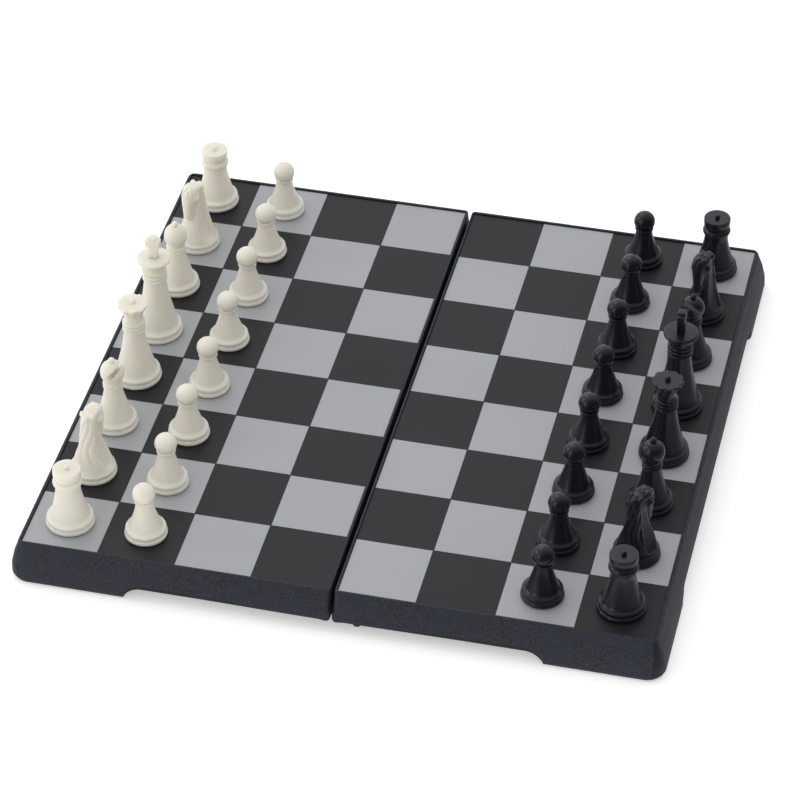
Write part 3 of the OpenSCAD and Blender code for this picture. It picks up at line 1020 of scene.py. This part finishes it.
def join_cross(mesh):
    """Stands the cross on the king's top."""
    stem, arm, thick, top = 2.7, 4.7, 2.5, 37.2
    upright = box_mesh((-stem / 2, -thick / 2, KING_DISC - 0.2), (stem / 2, thick / 2, top))
    obj = bpy.data.objects.new("cross", upright)
    bpy.context.scene.collection.objects.link(obj)
    carve(obj, box_mesh((-arm / 2, -thick / 2, top - 3.8), (arm / 2, thick / 2, top - 1.0)), "UNION")
    bevel = obj.modifiers.new("bevel", "BEVEL")
    bevel.width = mm(0.6)
    bevel.segments = 4
    bevel.limit_method = "ANGLE"
    apply_modifiers(obj)
    joined = bmesh.new()
    joined.from_mesh(mesh)
    joined.from_mesh(obj.data)
    joined.to_mesh(mesh)
    joined.free()
    bpy.data.objects.remove(obj)


def paint_piece(mesh, plastic):
    """Plastic all over, nickel on the magnet."""
    mesh.materials.clear()
    mesh.materials.append(plastic)
    mesh.materials.append(NICKEL)
    for polygon in mesh.polygons:
        centre = polygon.center / SCALE
        radius = math.hypot(centre.x, centre.y)
        in_magnet = radius < MAGNET_R + 0.01 and MAGNET_SINK - 0.01 < centre.z < MAGNET_TOP + 0.01
        polygon.material_index = 1 if in_magnet else 0


def build_type(kind, radius):
    """Mesh of one kind of piece on a base of this radius."""
    if kind == "pawn":
        mesh = turned_mesh("pawn", pawn_outline(radius))
    elif kind == "rook":
        mesh = turned_mesh("rook", rook_outline(radius))
    elif kind == "bishop":
        mesh = cut_slot(turned_mesh("bishop", bishop_outline(radius)))
    elif kind == "queen":
        mesh = turned_mesh("queen", queen_outline(radius), scallop)
    elif kind == "king":
        mesh = turned_mesh("king", king_outline(radius))
        join_cross(mesh)
    else:
        mesh = knight_mesh(radius)
    return mesh


PIECE_KINDS = ("pawn", "rook", "knight", "bishop", "queen", "king")
# How far each piece is turned about its axis, in degrees
TURNS = {
    "white_knight_near": 75,
    "white_knight_far": -112,
    "black_knight_near": 60,
    "black_knight_far": -110,
    "white_bishop_near": -5,
    "white_bishop_far": 100,
    "black_bishop_near": 120,
    "black_bishop_far": -130,
    "black_king": 90,
}


def kind_of(node):
    return next(kind for kind in PIECE_KINDS if kind in node)


def build_pieces():
    """One mesh for each kind and colour, shared by the pieces, each standing on its square."""
    shared = {}
    for node in sorted(frame["nodes"]):
        if not node.startswith(("white_", "black_")):
            continue
        kind, colour = kind_of(node), node.split("_")[0]
        low, high = box_mm(node)
        if (kind, colour) not in shared:
            mesh = build_type(kind, (high.x - low.x) / 2)
            smooth_by_angle(mesh)
            paint_piece(mesh, IVORY if colour == "white" else JET)
            shared[(kind, colour)] = mesh
        obj = make_object(node + "_piece", shared[(kind, colour)])
        middle = (low + high) / 2
        turn = Matrix.Rotation(math.radians(TURNS.get(node, 0)), 4, "Z")
        obj.matrix_world = Matrix.Translation((mm(middle.x), mm(middle.y), mm(FIELD_Z))) @ turn
        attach(obj, node)
        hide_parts(node)


build_pieces()


# ------------------------------------------------------ CAD nodes that stay
def finish_node(node, material, bevel=0.0):
    """Gives a CAD node its material and, where it has sharp edges, a bevel in millimetres."""
    obj = frame["nodes"][node]
    obj.data.materials.clear()
    obj.data.materials.append(material)
    if bevel:
        edge = obj.modifiers.new("edge", "BEVEL")
        edge.width = mm(bevel)
        edge.segments = 3
        edge.limit_method = "ANGLE"
        edge.angle_limit = math.radians(40)


for half in ("left", "right"):
    finish_node(half + "_playing_sheet", SHEET)
    finish_node(half + "_silver_squares", FOIL)
    finish_node(half + "_steel_plate", STEEL)
    finish_node(half + "_hinge_pins", PIN_STEEL, 0.2)
    finish_node(half + "_closing_magnets", NICKEL, 0.25)
finish_node("hinge_links", SMOOTH, 0.35)
finish_node("centre_feet", RUBBER)


# --------------------------------------------------------------------- stage
VIEW_AZIMUTH = 13.35
VIEW_ELEVATION = 39.84
VIEW_ROLL = -0.27
VIEW_DISTANCE = 48.17 * SQUARE
VIEW_TARGET = Vector((-0.027 * SQUARE, -0.212 * SQUARE, FIELD_Z))
LENS = 163.9
# Where the bright table top ends in reflections, in metres along Y
TABLE_END = -0.16


def add_camera():
    azimuth, elevation = math.radians(VIEW_AZIMUTH), math.radians(VIEW_ELEVATION)
    level = math.cos(elevation)
    back = Vector((math.sin(azimuth) * level, -math.cos(azimuth) * level, math.sin(elevation)))
    camera = bpy.data.objects.new("camera", bpy.data.cameras.new("camera"))
    bpy.context.scene.collection.objects.link(camera)
    turn = back.to_track_quat("Z", "Y").to_matrix().to_4x4()
    roll = Matrix.Rotation(math.radians(VIEW_ROLL), 4, "Z")
    camera.matrix_world = Matrix.Translation((VIEW_TARGET + back * VIEW_DISTANCE) * SCALE) @ turn @ roll
    camera.data.lens = LENS
    camera.data.sensor_width = 36
    camera.data.clip_start = 0.01
    camera.data.clip_end = 20
    bpy.context.scene.camera = camera


def add_area_light(name, place, size, power):
    """A soft rectangular light, placed in metres and aimed at the middle of the board."""
    light = bpy.data.lights.new(name, "AREA")
    light.shape = "RECTANGLE"
    light.size, light.size_y = size
    light.energy = power
    obj = bpy.data.objects.new(name, light)
    bpy.context.scene.collection.objects.link(obj)
    turn = Vector(place).to_track_quat("Z", "Y").to_matrix().to_4x4()
    obj.matrix_world = Matrix.Translation(place) @ turn
    return obj


def dome(tree, middle, swing, least, towards):
    """Strength of a sky that is brighter by swing towards one side and dimmer away from it, down to least."""
    where = tree.nodes.new("ShaderNodeTexCoord")
    dot = tree.nodes.new("ShaderNodeVectorMath")
    dot.operation = "DOT_PRODUCT"
    dot.inputs[1].default_value = Vector(towards).normalized()
    tree.links.new(where.outputs["Generated"], dot.inputs[0])
    scale = tree.nodes.new("ShaderNodeMath")
    scale.operation = "MULTIPLY_ADD"
    scale.inputs[1].default_value = swing
    scale.inputs[2].default_value = middle
    tree.links.new(dot.outputs["Value"], scale.inputs[0])
    limit = tree.nodes.new("ShaderNodeMath")
    limit.operation = "MAXIMUM"
    limit.inputs[1].default_value = least
    tree.links.new(scale.outputs["Value"], limit.inputs[0])
    return limit.outputs["Value"]


def add_world(lighting, mirrored):
    """A soft white sky; surfaces are lit by one dome and mirror another, which is darker in front."""
    world = bpy.data.worlds.new("world")
    bpy.context.scene.world = world
    world.use_nodes = True
    tree = world.node_tree
    background = tree.nodes["Background"]
    background.inputs["Color"].default_value = (1.0, 1.0, 1.0, 1.0)
    path = tree.nodes.new("ShaderNodeLightPath")
    choice = tree.nodes.new("ShaderNodeMix")
    tree.links.new(path.outputs["Is Glossy Ray"], choice.inputs["Factor"])
    tree.links.new(dome(tree, *lighting), choice.inputs["A"])
    tree.links.new(dome(tree, *mirrored), choice.inputs["B"])
    tree.links.new(choice.outputs["Result"], background.inputs["Strength"])


def darken_far_reflections(n):
    """In reflections the floor dims to the right of the object and ends in front of it, except on the left."""
    place = n.add("ShaderNodeSeparateXYZ", Vector=n.add("ShaderNodeNewGeometry").outputs["Position"])

    def combine(operation, first, second):
        node = n.add("ShaderNodeMath")
        node.operation = operation
        n.feed(node, 0, first)
        n.feed(node, 1, second)
        return node.outputs[0]

    in_front = n.spread(place.outputs["Y"], 1.0, 0.0, TABLE_END, TABLE_END + 0.06)
    not_left = n.spread(place.outputs["X"], 0.0, 1.0, -0.14, -0.04)
    to_right = n.spread(place.outputs["X"], 0.3, 0.8, 0.112, 0.135)
    darkness = combine("MAXIMUM", combine("MULTIPLY", in_front, not_left), to_right)
    share = combine("MULTIPLY", darkness, n.add("ShaderNodeLightPath").outputs["Is Glossy Ray"])
    dark = n.add("ShaderNodeBsdfDiffuse", Color=(0.02, 0.02, 0.02, 1.0))
    both = n.add("ShaderNodeMixShader")
    n.feed(both, 0, share)
    n.feed(both, 1, n.shader.outputs[0])
    n.feed(both, 2, dark.outputs[0])
    tree = n.material.node_tree
    output = next(node for node in tree.nodes if node.type == "OUTPUT_MATERIAL")
    tree.links.new(both.outputs[0], output.inputs["Surface"])


def add_floor():
    """A plain pale floor that sinks below the lowest piece when the board is folded under."""
    mesh = bpy.data.meshes.new("floor")
    bm = bmesh.new()
    bmesh.ops.create_grid(bm, x_segments=1, y_segments=1, size=6.0)
    bm.to_mesh(mesh)
    bm.free()
    n = Nodes("floor")
    haze = n.noise(400.0, 2.0)
    n.set(Base_Color=n.ramp(haze, [(0.0, (0.90, 0.90, 0.90)), (1.0, (0.92, 0.92, 0.92))]), Roughness=0.9)
    n.feed(n.shader, "Specular IOR Level", 0.1)
    floor = make_object("floor", mesh, n.material)
    n.set(Emission_Color=(1.0, 1.0, 1.0, 1.0), Emission_Strength=0.4)
    darken_far_reflections(n)
    _, king_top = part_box("black_king")
    marker = bpy.data.objects.new("floor_marker", None)
    bpy.context.scene.collection.objects.link(marker)
    marker.location = (0.0, 0.0, king_top.z + 0.0005)
    marker.parent = frame["bodies"]["black_king"]
    follow = floor.constraints.new("COPY_LOCATION")
    follow.target = marker
    follow.use_x = follow.use_y = False
    stop = floor.constraints.new("LIMIT_LOCATION")
    stop.use_max_z = True
    stop.max_z = 0.0


add_camera()
add_world((0.6, 0.38, 0.1, (-0.35, 0.1, 0.8)), (0.35, 0.75, 0.04, (-0.45, 0.75, 0.45)))
add_area_light("key", (-0.8, 0.7, 1.5), (1.0, 0.8), 3)
add_area_light("window", (-1.4, -0.15, 0.7), (0.3, 0.6), 1.8)
strip = add_area_light("strip", (-0.75, -1.1, 0.4), (0.4, 1.0), 2.4)
strip.visible_diffuse = False
add_floor()
bpy.context.scene.view_settings.view_transform = "Standard"
